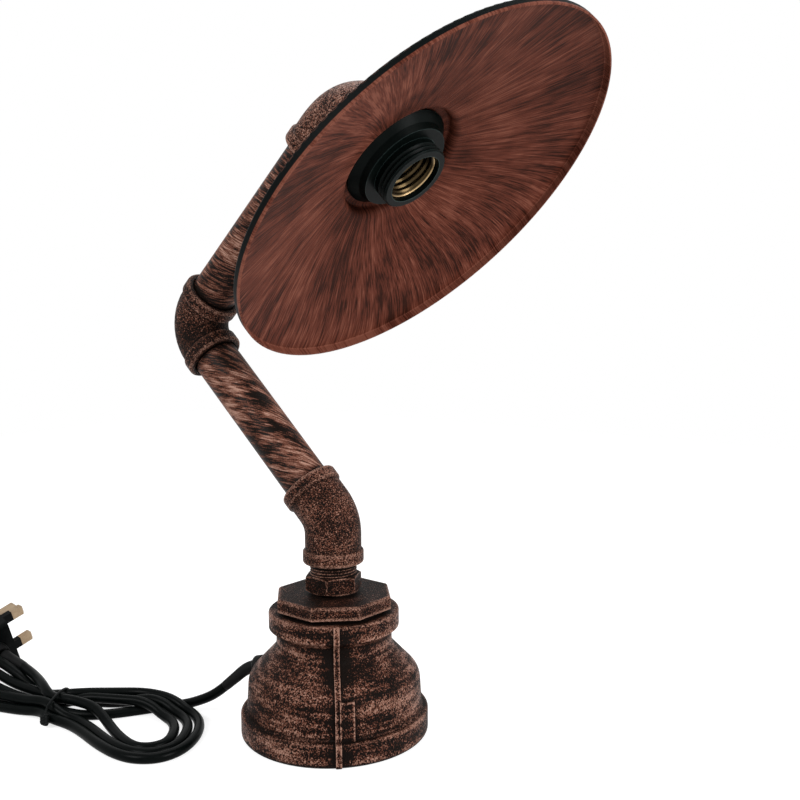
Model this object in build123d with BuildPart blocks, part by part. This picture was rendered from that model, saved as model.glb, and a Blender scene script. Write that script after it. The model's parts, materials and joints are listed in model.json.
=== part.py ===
# Industrial pipe table lamp: gas pipe and malleable-iron fittings on a bell-shaped reducing socket,
# with an E27 lampholder and a flat conical shade.
# Frame: origin at the centre of the base's foot, +Z up, +X the way the head reaches. Millimetres and degrees.

from build123d import *
from math import cos, pi, radians, sin, tan
import os

os.makedirs("parts", exist_ok=True)

# ---- pipe and threads -------------------------------------------------------------------------------
pipe_radius = 26.9 / 2  # three-quarter-inch pipe
pipe_wall = 2.65
thread_radius = 26.4 / 2  # its thread, over the crests
thread_length = 12.0  # thread inside a fitting
thread_clearance = 0.06  # radial play of every thread in its socket
shoulder_gap = 0.8  # bare thread between the pipe and a fitting's face
pipe_chamfer = 0.8

# ---- fittings on the pipe ---------------------------------------------------------------------------
fitting_radius = 16.2  # cast body
bead_radius = 17.5  # thickened mouth
bead_length = 7.0
bead_round = 1.5
bead_seat = 0.6  # how far the bead's slope sinks into the body
socket_depth = 13.5
mouth_flare = 1.1
waterway_radius = 10.5
neck_leg_length = 25.6  # 45 degree elbow, corner to face
neck_bend = 22.0
elbow_leg_length = 27.2  # 90 degree elbow, corner to face
elbow_bend = 19.0

# ---- layout of the arms -----------------------------------------------------------------------------
lean = 45.0  # lower pipe from the vertical
lower_length = 152.7  # corner to corner
upper_length = 172.7

# ---- base: reducing socket --------------------------------------------------------------------------
foot_radius = 54.5
foot_height = 13.9
foot_round = 2.4
foot_slope = 0.6  # rise of the band's top towards the bell
foot_top_round = 1.4
bell_radius = 51.0  # just above the foot band
shoulder_radius = 49.6
shoulder_height = 35.5
shoulder_round = 12.0
bell_neck_radius = 33.4
bell_neck_height = 52.5
bell_neck_round = 7.0
neck_cone_round = 1.5
collar_radius = 37.6
collar_bottom = 63.5
collar_height = 9.8
collar_slope = 3.6  # height of the cone under the collar
collar_round = 1.4
collar_under_round = 0.6
mouth_radius = 44.0  # three-inch thread in the foot
bell_wall = 7.0
collar_thread_radius = 29.8  # two-inch thread in the collar
collar_thread_depth = 22.0
collar_thread_ledge = 2.0  # how far the hollow stands in below the thread
rib_width = 3.2
rib_rise = 1.1
rib_turn = -50.0
pad_width = 8.0
pad_rise = 1.8
pad_top = 36.0
pad_turn = -44.5

# ---- octagon bush and hex nipple --------------------------------------------------------------------
octagon_gap = 2.0  # bare thread between the collar and the octagon
octagon_across = 64.0
octagon_height = 7.4
octagon_chamfer = 1.0
octagon_turn = 16.9
bush_thread_length = 20.0
bush_hollow_radius = 22.0
bush_hollow_depth = 9.0
bush_hollow_taper = 12.0
hexagon_gap = 1.4
hexagon_across = 28.8
hexagon_height = 9.8
hexagon_chamfer = 1.6
hexagon_turn = 53.75
nipple_thread_length = 15.0
nipple_bore_radius = 9.5
neck_gap = 6.6  # bare thread between the hexagon and the neck elbow

# ---- head: reducing elbow, holder and shade ---------------------------------------------------------
inlet_leg_length = 37.0  # pipe side, corner to face
outlet_leg_length = 41.5  # holder side
head_bend = 23.6
outlet_radius = 22.8
outlet_bead_radius = 25.6
outlet_bead_length = 9.0
outlet_wall = 3.2
holder_radius = 19.5  # threaded skirt of the holder
holder_wall = 2.4
holder_top = 19.5  # along the head's axis, from the corner
holder_mouth = 61.0
holder_joint = 30.0
holder_dome_round = 3.0
cap_crown_inset = 1.5
cap_side = 3.0  # straight wall of the cap above the joint
cap_side_round = 1.2
cap_hollow_taper = 15.0
holder_play = 0.25
thread_ridge = 0.9
thread_pitch = 2.6
thread_turns = 3
cap_wall = 2.4
insert_height = 7.0
insert_wall = 2.2  # ring that centres the screw shell
insert_wall_height = 2.5
shell_radius = 14.1
shell_wall = 0.4
shell_lip = 0.9
shell_depth = 3.0  # from the holder's mouth to the shell's lip
contact_width = 6.0
contact_foot = (-6.5, 1.5)  # where the strip lies on the insert
contact_bend = 5.0
contact_tip = (-3.0, 5.7)
contact_rounds = (1.2, 0.9)
contact_thickness = 0.5
contact_rise = 4.5
terminal_radius = 2.2
terminal_length = 5.0
terminal_sink = 0.4  # screw heads below the insert's face
terminal_offset = 9.5
ring_radius = 31.0
ring_edge = 1.6
ring_height = 5.6
ring_hub_radius = 25.5
ring_hub_height = 9.2
ring_hub_slope = 1.5
shade_radius = 117.3
shade_mouth = 76.5  # plane of the rim, along the head's axis
shade_lip = 4.8
shade_sheet = 1.0
shade_neck_radius = 35.3
shade_neck_height = 6.4
shade_neck_round = 3.4
shade_lip_round = 1.6
shade_crown_round = 2.6

# ---- foot pad, cord exit, earth terminal ------------------------------------------------------------
pad_thickness = 3.0
pad_play = 0.4
cord_radius = 3.0
cord_play = 0.05
exit_turn = -163.0
exit_height = 33.4
exit_tilt = -12.0
exit_seat_radius = 45.6  # seat of the grommet's flange, from the lamp's axis
grommet_radius = 6.3
grommet_rise = 5.4
grommet_round = 2.2
grommet_neck_radius = 5.0
grommet_neck_length = 8.5
clamp_radius = 7.0
clamp_length = 7.0
flex_gap = 0.2
flex_bend = 13.0
earth_turn = 35.0
earth_height = 20.0
earth_boss_radius = 6.0
earth_boss_rise = 5.0
earth_screw_radius = 2.0
earth_head_radius = 3.8
earth_head_height = 2.6
earth_tag_thickness = 0.8
earth_tag_radius = 4.2
earth_tag_tail = 12.0

# ---- mains plug -------------------------------------------------------------------------------------
plug_place = Vector(-248.7, -45.7, 0)  # under the middle of the pin face
plug_cord_way = Vector(0.981, -0.104, -0.163)  # from the pins towards the cord
plug_pin_way = Vector(0.153, 0.931, 0.331)
plug_thickness = 22.0
plug_half_width = 24.0
plug_cord_half_width = 17.0
plug_earth_half_width = 13.0
plug_cord_edge = 14.5
plug_earth_edge = -35.5
plug_shoulder = (3.0, -8.0)  # where the widest part begins and ends
plug_corner_round = 5.0
plug_taper = 20.0
pin_spacing = 22.2
earth_spacing = 22.2
line_pin_size = (4.0, 6.35)
line_pin_length = 17.7
earth_pin_size = (8.0, 4.0)
earth_pin_length = 22.7
pin_chamfer = 0.9
pin_root = 6.0
pin_play = 0.03
sleeve_length = 9.2
sleeve_wall = 0.35
carrier_size = (8.4, 29.0)
carrier_depth = 9.0
carrier_offset = -9.4
carrier_play = 0.12
fuse_radius = 3.15
fuse_length = 25.4
fuse_chamfer = 0.4
boot_radius = 6.0
boot_tip_radius = 5.2
boot_length = 4.5
boot_root = 8.0
boot_lip = 0.8
boot_dish = 1.6  # depth of the hollow in its end
boot_dish_taper = 20.0

# ---- cord -------------------------------------------------------------------------------------------
exit_run = 5.0
lead_run = 4.0
hank_height = 10.0  # right lobe
waist_height = 12.5
waist_length = 26.0
waist_width = 23.0
waist_centre = (-157.0, -77.0)
upper_height = 17.0
far_height = 14.0
lower_height = 7.0
ramp_start = -180.0  # the left lobe's upper band climbs from here
ramp_end = -228.0
tie_width = 3.0
tie_wall = 1.2
tie_play = 0.05


def save(part, name):
    part.label = name
    export_step(part, f"parts/{name}.step")


def polar(radius, turn, height=0.0):
    return Vector(radius * cos(radians(turn)), radius * sin(radians(turn)), height)


# ---- axes of the arms -------------------------------------------------------------------------------
up = Vector(0, 0, 1)
lower_way = Vector(-sin(radians(lean)), 0, cos(radians(lean)))
upper_way = Vector(cos(radians(lean)), 0, sin(radians(lean)))
head_way = lower_way * -1

collar_top = collar_bottom + collar_height
octagon_bottom = collar_top + octagon_gap
octagon_top = octagon_bottom + octagon_height
hexagon_bottom = octagon_top + hexagon_gap
hexagon_top = hexagon_bottom + hexagon_height
neck_face = hexagon_top + neck_gap
neck_corner = Vector(0, 0, neck_face + neck_leg_length)
middle_corner = neck_corner + lower_way * lower_length
head_corner = middle_corner + upper_way * upper_length
head_side = upper_way.cross(head_way)
head_profile = Plane(head_corner, x_dir=upper_way, z_dir=head_side)
head_axis = Axis(head_corner, head_way)


# ---- base -------------------------------------------------------------------------------------------
# The bell's outline from the foot to the collar, rounded at each corner.
bell_slope = Vector(bell_neck_radius - shoulder_radius, bell_neck_height - shoulder_height)
bell_inset = bell_wall * bell_slope.length / bell_slope.Y
collar_thread_bottom = collar_top - collar_thread_depth
bell_bore_radius = collar_thread_radius - collar_thread_ledge
# The hollow's cone runs parallel to the bell's slope, one wall inside it.
bore_height = shoulder_height + (shoulder_radius - bell_inset - bell_bore_radius) * bell_slope.Y / -bell_slope.X
cone_height = shoulder_height + (shoulder_radius - bell_inset - mouth_radius) * bell_slope.Y / -bell_slope.X
exit_point = polar(exit_seat_radius, exit_turn, exit_height)
exit_way = polar(cos(radians(exit_tilt)), exit_turn, sin(radians(exit_tilt)))
exit_plane = Plane(exit_point, x_dir=polar(1, exit_turn + 90), z_dir=exit_way)
exit_side = polar(1, exit_turn + 90)
exit_profile = Plane(exit_point, x_dir=exit_side, z_dir=exit_side.cross(exit_way))
exit_tip = exit_point + exit_way * grommet_rise
earth_side = polar(1, earth_turn + 90)
earth_plane = Plane(polar(mouth_radius, earth_turn, earth_height), x_dir=earth_side, z_dir=polar(-1, earth_turn))


def bell_outline(rise):
    # Closed half-section of the bell out to its skin, grown outwards by rise.
    skin = [
        (0, 0),
        (foot_radius + rise, 0),
        (foot_radius + rise, foot_height),
        (bell_radius + rise, foot_height + foot_slope),
        (shoulder_radius + rise, shoulder_height),
        (bell_neck_radius + rise, bell_neck_height),
        (bell_neck_radius + rise, collar_bottom - collar_slope),
        (collar_radius + rise, collar_bottom),
        (collar_radius + rise, collar_top),
        (0, collar_top),
    ]
    rounds = [foot_round, foot_top_round, foot_top_round, shoulder_round, bell_neck_round]
    rounds += [neck_cone_round, collar_under_round, collar_round]
    with BuildLine() as outline:
        FilletPolyline(*skin, radius=rounds)
        Line(skin[-1], skin[0])
    return outline.line


with BuildPart() as base_reducer:
    with BuildSketch(Plane.XZ):
        add(bell_outline(0))
        make_face()
    revolve(axis=Axis.Z)
    # Mould-line ribs stand on two sides of the bell.
    with BuildSketch(Plane.XZ.rotated((0, 0, rib_turn))):
        add(bell_outline(rib_rise))
        make_face()
    extrude(amount=rib_width / 2, both=True)
    with BuildSketch(Plane.XZ.rotated((0, 0, rib_turn + 180))):
        add(bell_outline(rib_rise))
        make_face()
    extrude(amount=rib_width / 2, both=True)
    # A casting pad stands on the bell beside the front rib.
    with BuildSketch(Plane.XZ.rotated((0, 0, pad_turn))):
        with BuildLine():
            Polyline(
                (mouth_radius, foot_height / 2),
                (bell_radius + pad_rise, foot_height / 2),
                (shoulder_radius + pad_rise, pad_top),
                (mouth_radius, pad_top),
                close=True,
            )
        make_face()
    extrude(amount=pad_width / 2, both=True)
    # Hollow: three-inch mouth below, two-inch thread above, a cone between them.
    with BuildSketch(Plane.XZ):
        with BuildLine():
            Polyline(
                (0, 0),
                (mouth_radius, 0),
                (mouth_radius, cone_height),
                (bell_bore_radius, bore_height),
                (bell_bore_radius, collar_thread_bottom),
                (collar_thread_radius + thread_clearance, collar_thread_bottom),
                (collar_thread_radius + thread_clearance, collar_top - mouth_flare),
                (collar_thread_radius + thread_clearance + mouth_flare, collar_top),
                (0, collar_top),
                close=True,
            )
        make_face()
    revolve(axis=Axis.Z, mode=Mode.SUBTRACT)
    # Boss for the earth screw.
    with BuildSketch(earth_plane.offset(-bell_wall / 2)):
        Circle(earth_boss_radius)
    extrude(amount=bell_wall / 2 + earth_boss_rise)
    with BuildSketch(earth_plane.offset(earth_boss_rise)):
        Circle(earth_screw_radius)
    extrude(amount=-(earth_boss_rise + bell_wall / 2), mode=Mode.SUBTRACT)
    # Hole for the cord's grommet, square to the bell's skin.
    with BuildSketch(exit_plane.offset(grommet_rise + bell_wall)):
        Circle(grommet_neck_radius + cord_play)
    extrude(amount=-(grommet_rise + 4 * bell_wall), mode=Mode.SUBTRACT)
    with BuildSketch(exit_plane):
        Circle(grommet_radius + cord_play)
    extrude(amount=grommet_rise + bell_wall, mode=Mode.SUBTRACT)
    with BuildSketch(exit_plane.offset(-grommet_neck_length)):
        Circle(clamp_radius + cord_play)
    extrude(amount=-2 * clamp_length, mode=Mode.SUBTRACT)
save(base_reducer.part, "base_reducer")

with BuildPart() as foot_pad:
    Cylinder(mouth_radius - pad_play, pad_thickness, align=(Align.CENTER, Align.CENTER, Align.MIN))
save(foot_pad.part, "foot_pad")

with BuildPart() as octagon_bush:
    with BuildSketch(Plane.XY.offset(octagon_bottom)):
        RegularPolygon(octagon_across / 2, 8, major_radius=False, rotation=octagon_turn)
    extrude(amount=octagon_height)
    chamfer(octagon_bush.faces().sort_by(Axis.Z)[-1].outer_wire().edges(), octagon_chamfer)
    with BuildSketch(Plane.XY.offset(octagon_bottom)):
        Circle(collar_thread_radius)
    extrude(amount=-bush_thread_length)
    chamfer(octagon_bush.faces().sort_by(Axis.Z)[0].outer_wire().edges(), pipe_chamfer)
    with BuildSketch(Plane.XY.offset(octagon_top)):
        Circle(thread_radius + thread_clearance)
    extrude(amount=-(octagon_height + bush_thread_length), mode=Mode.SUBTRACT)
    with BuildSketch(Plane.XY.offset(octagon_bottom - bush_thread_length)):
        Circle(bush_hollow_radius)
    extrude(amount=bush_hollow_depth, taper=bush_hollow_taper, mode=Mode.SUBTRACT)
save(octagon_bush.part, "octagon_bush")

with BuildPart() as hex_nipple:
    with BuildSketch(Plane.XY.offset(hexagon_bottom)):
        RegularPolygon(hexagon_across / 2, 6, major_radius=False, rotation=hexagon_turn)
    extrude(amount=hexagon_height)
    # Both ends of the hexagon are turned to a cone.
    with BuildSketch(Plane.XZ):
        with BuildLine():
            Polyline(
                (0, hexagon_bottom),
                (hexagon_across / 2, hexagon_bottom),
                (hexagon_across / 2 + 2 * hexagon_chamfer, hexagon_bottom + hexagon_chamfer),
                (hexagon_across / 2 + 2 * hexagon_chamfer, hexagon_top - hexagon_chamfer),
                (hexagon_across / 2, hexagon_top),
                (0, hexagon_top),
                close=True,
            )
        make_face()
    revolve(axis=Axis.Z, mode=Mode.INTERSECT)
    with BuildSketch(Plane.XY.offset(hexagon_bottom)):
        Circle(thread_radius)
    extrude(amount=-nipple_thread_length)
    with BuildSketch(Plane.XY.offset(hexagon_top)):
        Circle(thread_radius)
    extrude(amount=neck_gap + thread_length)
    chamfer(hex_nipple.edges().group_by(Axis.Z)[0], pipe_chamfer)
    chamfer(hex_nipple.edges().group_by(Axis.Z)[-1], pipe_chamfer)
    with BuildSketch(Plane.XY.offset(hexagon_bottom - nipple_thread_length)):
        Circle(nipple_bore_radius)
    extrude(amount=nipple_thread_length + hexagon_height + neck_gap + thread_length, mode=Mode.SUBTRACT)
save(hex_nipple.part, "hex_nipple")


# ---- elbows and pipes -------------------------------------------------------------------------------
def make_bead(mouth, radius, body, length):
    # Thickened mouth: a band with a rounded lip that slopes back to the body at 45 degrees.
    with BuildPart() as bead:
        with BuildSketch(Plane(mouth.origin, x_dir=mouth.x_dir, z_dir=mouth.x_dir.cross(mouth.z_dir))):
            with BuildLine():
                FilletPolyline(
                    (0, 0),
                    (radius, 0),
                    (radius, length),
                    (body - bead_seat, length + radius - body + bead_seat),
                    (0, length + radius - body + bead_seat),
                    radius=[bead_round, bead_round, bead_seat / 4],
                )
                Line((0, length + radius - body + bead_seat), (0, 0))
            make_face()
        revolve(axis=Axis(mouth.origin, mouth.z_dir))
    return bead.part


def make_elbow(corner, way_in, way_out, reach, bend):
    # Equal elbow: a round body on a bent centreline, a bead and a threaded socket at each mouth.
    start = corner - way_in * reach
    finish = corner + way_out * reach
    mouths = [Plane(start, z_dir=way_in), Plane(finish, z_dir=way_out * -1)]
    beads = [make_bead(mouth, bead_radius, fitting_radius, bead_length) for mouth in mouths]
    with BuildPart() as elbow:
        with BuildLine():
            FilletPolyline(start, corner, finish, radius=bend)
        with BuildSketch(mouths[0]):
            Circle(fitting_radius)
        sweep()
        add(beads)
        with BuildLine():
            FilletPolyline(start, corner, finish, radius=bend)
        with BuildSketch(mouths[0]):
            Circle(waterway_radius)
        sweep(mode=Mode.SUBTRACT)
        for mouth in mouths:
            with BuildSketch(mouth):
                Circle(thread_radius + thread_clearance)
            extrude(amount=socket_depth, mode=Mode.SUBTRACT)
            with BuildSketch(mouth):
                Circle(thread_radius + thread_clearance + mouth_flare)
            extrude(amount=mouth_flare, taper=45, mode=Mode.SUBTRACT)
    return elbow.part


def make_pipe(start, way, length):
    # Pipe from face to face of two fittings, with a turned-down thread into each.
    root = Plane(start, z_dir=way)
    with BuildPart() as pipe:
        with BuildSketch(root.offset(shoulder_gap)):
            Circle(pipe_radius)
        extrude(amount=length - 2 * shoulder_gap)
        with BuildSketch(root.offset(-thread_length)):
            Circle(thread_radius)
        extrude(amount=length + 2 * thread_length)
        ends = pipe.faces().sort_by(Axis(start, way))
        chamfer(ends[0].edges() + ends[-1].edges(), pipe_chamfer)
        with BuildSketch(root.offset(-thread_length)):
            Circle(pipe_radius - pipe_wall)
        extrude(amount=length + 2 * thread_length, mode=Mode.SUBTRACT)
    return pipe.part


save(make_elbow(neck_corner, up, lower_way, neck_leg_length, neck_bend), "neck_elbow")
lower_start = neck_corner + lower_way * neck_leg_length
save(make_pipe(lower_start, lower_way, lower_length - neck_leg_length - elbow_leg_length), "lower_pipe")
save(make_elbow(middle_corner, lower_way, upper_way, elbow_leg_length, elbow_bend), "middle_elbow")
upper_start = middle_corner + upper_way * elbow_leg_length
save(make_pipe(upper_start, upper_way, upper_length - elbow_leg_length - inlet_leg_length), "upper_pipe")

# ---- head elbow -------------------------------------------------------------------------------------
# A reducing elbow: its body grows from the pipe's size to the holder's round the bend.
bend_centre = head_corner - upper_way * head_bend + head_way * head_bend
bend_steps = 4
head_mouth = Plane(head_corner - upper_way * inlet_leg_length, z_dir=upper_way)
outlet = Plane(head_corner + head_way * outlet_leg_length, z_dir=head_way * -1)


def bend_section(step):
    # Plane square to the bend's centreline, and the share of the bend behind it.
    share = step / bend_steps
    turn = radians(90 * share)
    spoke = head_way * (-cos(turn)) + upper_way * sin(turn)
    ahead = upper_way * cos(turn) + head_way * sin(turn)
    return Plane(bend_centre + spoke * head_bend, x_dir=head_side, z_dir=ahead), share


def grown(first, last, share):
    # Radius along the bend, eased at both ends: first + (last - first)(3 t^2 - 2 t^3).
    return first + (last - first) * share**2 * (3 - 2 * share)


inlet_bead = make_bead(head_mouth, bead_radius, fitting_radius, bead_length)
outlet_bead = make_bead(outlet, outlet_bead_radius, outlet_radius, outlet_bead_length)
with BuildPart() as head_elbow:
    for step in range(bend_steps + 1):
        plane, share = bend_section(step)
        with BuildSketch(plane):
            Circle(grown(fitting_radius, outlet_radius, share))
    loft()
    with BuildSketch(head_mouth):
        Circle(fitting_radius)
    extrude(amount=inlet_leg_length - head_bend)
    with BuildSketch(outlet):
        Circle(outlet_radius)
    extrude(amount=outlet_leg_length - head_bend)
    add([inlet_bead, outlet_bead])
    for step in range(bend_steps + 1):
        plane, share = bend_section(step)
        with BuildSketch(plane):
            Circle(grown(waterway_radius, outlet_radius - outlet_wall, share))
    loft(mode=Mode.SUBTRACT)
    with BuildSketch(head_mouth):
        Circle(waterway_radius)
    extrude(amount=inlet_leg_length - head_bend, mode=Mode.SUBTRACT)
    with BuildSketch(head_mouth):
        Circle(thread_radius + thread_clearance)
    extrude(amount=socket_depth, mode=Mode.SUBTRACT)
    with BuildSketch(head_mouth):
        Circle(thread_radius + thread_clearance + mouth_flare)
    extrude(amount=mouth_flare, taper=45, mode=Mode.SUBTRACT)
    with BuildSketch(outlet):
        Circle(holder_radius + thread_clearance)
    extrude(amount=outlet_leg_length - head_bend, mode=Mode.SUBTRACT)
save(head_elbow.part, "head_elbow")

# ---- lampholder -------------------------------------------------------------------------------------
holder_inner = holder_radius - holder_wall
skirt_end = holder_mouth
# The thread shows below the ring as grooves between its crests, from the mouth upwards.
skirt_thread = [(holder_radius - thread_ridge, skirt_end)]
for turn in range(thread_turns):
    crest = skirt_end - thread_ridge - turn * thread_pitch
    skirt_thread += [(holder_radius, crest), (holder_radius, crest - thread_pitch / 4)]
    skirt_thread += [(holder_radius - thread_ridge, crest - thread_pitch * 5 / 8)]
with BuildPart() as holder_skirt:
    with BuildSketch(head_profile):
        with BuildLine():
            Polyline(
                (shell_radius + shell_lip + holder_play, skirt_end),
                *skirt_thread[:-1],
                (holder_radius, holder_joint),
                (holder_inner, holder_joint),
                (holder_inner, skirt_end - shell_depth - 2 * shell_lip),
                (shell_radius + shell_lip + holder_play, skirt_end - shell_depth - shell_lip),
                close=True,
            )
        make_face()
    revolve(axis=head_axis)
save(holder_skirt.part, "holder_skirt")

with BuildPart() as holder_cap:
    with BuildSketch(head_profile):
        with BuildLine():
            FilletPolyline(
                (0, holder_top),
                (holder_inner - cap_crown_inset, holder_top),
                (holder_radius - holder_play, holder_joint - cap_side),
                (holder_radius - holder_play, holder_joint),
                radius=[holder_dome_round, cap_side_round],
            )
            Line((holder_radius - holder_play, holder_joint), (0, holder_joint))
            Line((0, holder_joint), (0, holder_top))
        make_face()
    revolve(axis=head_axis)
    with BuildSketch(Plane(head_corner + head_way * holder_joint, z_dir=head_way * -1)):
        Circle(holder_inner - holder_play)
    extrude(amount=holder_joint - holder_top - cap_wall, taper=cap_hollow_taper, mode=Mode.SUBTRACT)
    with BuildSketch(Plane(head_corner + head_way * holder_joint, z_dir=head_way * -1)):
        Circle(cord_radius + cord_play)
    extrude(amount=holder_joint - holder_top, mode=Mode.SUBTRACT)
save(holder_cap.part, "holder_cap")

insert_top = holder_joint
insert_bottom = insert_top + insert_height
insert_plane = Plane(head_corner + head_way * insert_bottom, x_dir=head_side, z_dir=head_way)
with BuildPart() as holder_insert:
    with BuildSketch(insert_plane):
        Circle(holder_inner - holder_play)
    extrude(amount=-insert_height)
    # A ring wall centres the screw shell; a slot holds the centre contact.
    with BuildSketch(insert_plane):
        Circle(shell_radius - shell_wall - holder_play)
        Circle(shell_radius - shell_wall - holder_play - insert_wall, mode=Mode.SUBTRACT)
    extrude(amount=insert_wall_height)
    with BuildSketch(insert_plane):
        with GridLocations(2 * terminal_offset, 0, 2, 1):
            Circle(terminal_radius)
    extrude(amount=-terminal_length, mode=Mode.SUBTRACT)
save(holder_insert.part, "holder_insert")

with BuildPart() as screw_shell:
    with BuildSketch(head_profile):
        with BuildLine():
            Polyline(
                (shell_radius - shell_wall, insert_bottom),
                (shell_radius, insert_bottom),
                (shell_radius, skirt_end - shell_depth - shell_lip),
                (shell_radius + shell_lip, skirt_end - shell_depth),
                (shell_radius + shell_lip - shell_wall, skirt_end - shell_depth),
                (shell_radius - shell_wall, skirt_end - shell_depth - shell_lip),
                close=True,
            )
        make_face()
    revolve(axis=head_axis)
save(screw_shell.part, "screw_shell")

# The centre contact is a strip with its foot on the insert and a raised tongue.
contact_plane = Plane(head_corner + head_way * insert_bottom, x_dir=upper_way, z_dir=head_side)
with BuildPart() as centre_contact:
    with BuildSketch(contact_plane):
        with BuildLine() as strip:
            FilletPolyline(
                (contact_foot[0], contact_thickness / 2),
                (contact_foot[1], contact_thickness / 2),
                (contact_bend, contact_rise),
                contact_tip,
                radius=contact_rounds,
            )
            offset(strip.line, amount=contact_thickness / 2, side=Side.LEFT, kind=Kind.INTERSECTION)
        make_face()
    extrude(amount=contact_width / 2, both=True)
save(centre_contact.part, "centre_contact")

with BuildPart() as terminal_screws:
    with BuildSketch(insert_plane.offset(-terminal_length)):
        with GridLocations(2 * terminal_offset, 0, 2, 1):
            Circle(terminal_radius - cord_play)
    extrude(amount=terminal_length - terminal_sink)
save(terminal_screws.part, "terminal_screws")

# ---- shade and its ring -----------------------------------------------------------------------------
shade_crown = outlet_leg_length
neck_foot = shade_crown + shade_sheet + shade_neck_height
with BuildPart() as shade:
    with BuildSketch(head_profile):
        with BuildLine() as sheet:
            FilletPolyline(
                (holder_radius + 4 * holder_play, shade_crown),
                (shade_neck_radius + shade_sheet, shade_crown),
                (shade_neck_radius + shade_sheet, neck_foot - shade_sheet),
                (shade_radius, shade_mouth - shade_lip),
                (shade_radius, shade_mouth),
                radius=[shade_crown_round, shade_neck_round, shade_lip_round],
            )
            offset(sheet.line, amount=shade_sheet, side=Side.LEFT, kind=Kind.INTERSECTION)
        make_face()
    revolve(axis=head_axis)
save(shade.part, "shade")

with BuildPart() as shade_ring:
    ring_top = shade_crown + shade_sheet
    with BuildSketch(head_profile):
        with BuildLine():
            Polyline(
                (holder_radius + thread_clearance, ring_top),
                (ring_radius, ring_top),
                (ring_radius, ring_top + ring_edge),
                (ring_hub_radius + ring_hub_slope, ring_top + ring_height),
                (ring_hub_radius, ring_top + ring_hub_height),
                (holder_radius + thread_clearance, ring_top + ring_hub_height),
                close=True,
            )
        make_face()
    revolve(axis=head_axis)
save(shade_ring.part, "shade_ring")

# ---- grommet, clamp and earth terminal --------------------------------------------------------------
with BuildPart() as cable_grommet:
    with BuildSketch(exit_profile):
        with BuildLine():
            FilletPolyline(
                (grommet_radius, 0),
                (grommet_radius, grommet_rise),
                (cord_radius + cord_play, grommet_rise),
                radius=grommet_round,
            )
            Polyline(
                (cord_radius + cord_play, grommet_rise),
                (cord_radius + cord_play, -grommet_neck_length),
                (grommet_neck_radius, -grommet_neck_length),
                (grommet_neck_radius, 0),
                (grommet_radius, 0),
            )
        make_face()
    revolve(axis=Axis(exit_point, exit_way))
save(cable_grommet.part, "cable_grommet")

with BuildPart() as cord_clamp:
    with BuildSketch(exit_plane.offset(-grommet_neck_length)):
        Circle(clamp_radius)
        Circle(cord_radius + cord_play, mode=Mode.SUBTRACT)
    extrude(amount=-clamp_length)
    chamfer(cord_clamp.faces().filter_by(GeomType.CYLINDER).sort_by(SortBy.AREA)[-1].edges(), pipe_chamfer)
save(cord_clamp.part, "cord_clamp")

with BuildPart() as earth_tag:
    with BuildSketch(earth_plane.offset(earth_boss_rise)):
        Circle(earth_tag_radius)
        with Locations((earth_tag_tail / 2, 0)):
            Rectangle(earth_tag_tail, earth_tag_radius)
        Circle(earth_screw_radius, mode=Mode.SUBTRACT)
    extrude(amount=earth_tag_thickness)
save(earth_tag.part, "earth_tag")

earth_head = earth_boss_rise + earth_tag_thickness
with BuildPart() as earth_screw:
    with BuildSketch(earth_plane.offset(earth_head)):
        Circle(earth_screw_radius - thread_clearance)
    extrude(amount=-earth_head - bell_wall / 4)
    with BuildSketch(earth_plane.offset(earth_head)):
        Circle(earth_head_radius)
    extrude(amount=earth_head_height)
    chamfer(earth_screw.edges().sort_by(Axis(earth_plane.origin, earth_plane.z_dir))[-1], earth_head_height / 3)
save(earth_screw.part, "earth_screw")


# ---- flex inside the pipes --------------------------------------------------------------------------
def make_flex(*points, bend):
    # Round cord along straight runs joined by arcs.
    with BuildPart() as flex:
        with BuildLine() as run:
            FilletPolyline(*points, radius=bend)
        with BuildSketch(Plane(run.line @ 0, z_dir=run.line % 0)):
            Circle(cord_radius)
        sweep(transition=Transition.RIGHT)
    return flex.part


exit_depth = exit_seat_radius / cos(radians(exit_tilt))
base_turn = exit_point - exit_way * exit_depth
middle_face = middle_corner - lower_way * elbow_leg_length
base_top = Vector(0, 0, neck_face - flex_gap / 2)
save(make_flex(exit_tip, base_turn, base_top, bend=flex_bend), "inner_flex_base")
neck_start = up * (neck_face + flex_gap / 2)
neck_finish = middle_face - lower_way * (flex_gap / 2)
save(make_flex(neck_start, neck_corner, neck_finish, bend=flex_bend), "inner_flex_neck")
arm_start = middle_face + lower_way * (flex_gap / 2)
arm_finish = head_mouth.origin - upper_way * (flex_gap / 2)
save(make_flex(arm_start, middle_corner, arm_finish, bend=flex_bend), "inner_flex_arm")
head_start = head_mouth.origin + upper_way * (flex_gap / 2)
head_finish = head_corner + head_way * holder_joint
save(make_flex(head_start, head_corner, head_finish, bend=flex_bend), "inner_flex_head")

# ---- mains plug -------------------------------------------------------------------------------------
# The plug lies on its side, lifted until its lowest edge rests on the surface.
plug_outline = [
    (plug_cord_edge, plug_cord_half_width),
    (plug_shoulder[0], plug_half_width),
    (plug_shoulder[1], plug_half_width),
    (plug_earth_edge, plug_earth_half_width),
]
plug_outline += [(x, -y) for x, y in reversed(plug_outline)]


def make_plug_form(face):
    # Tapered moulding behind the pin face.
    with BuildPart() as form:
        with BuildSketch(face) as outline:
            with BuildLine():
                Polyline(*plug_outline, close=True)
            make_face()
            fillet(outline.vertices(), plug_corner_round)
        extrude(amount=-plug_thickness, taper=plug_taper)
    return form.part


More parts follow.
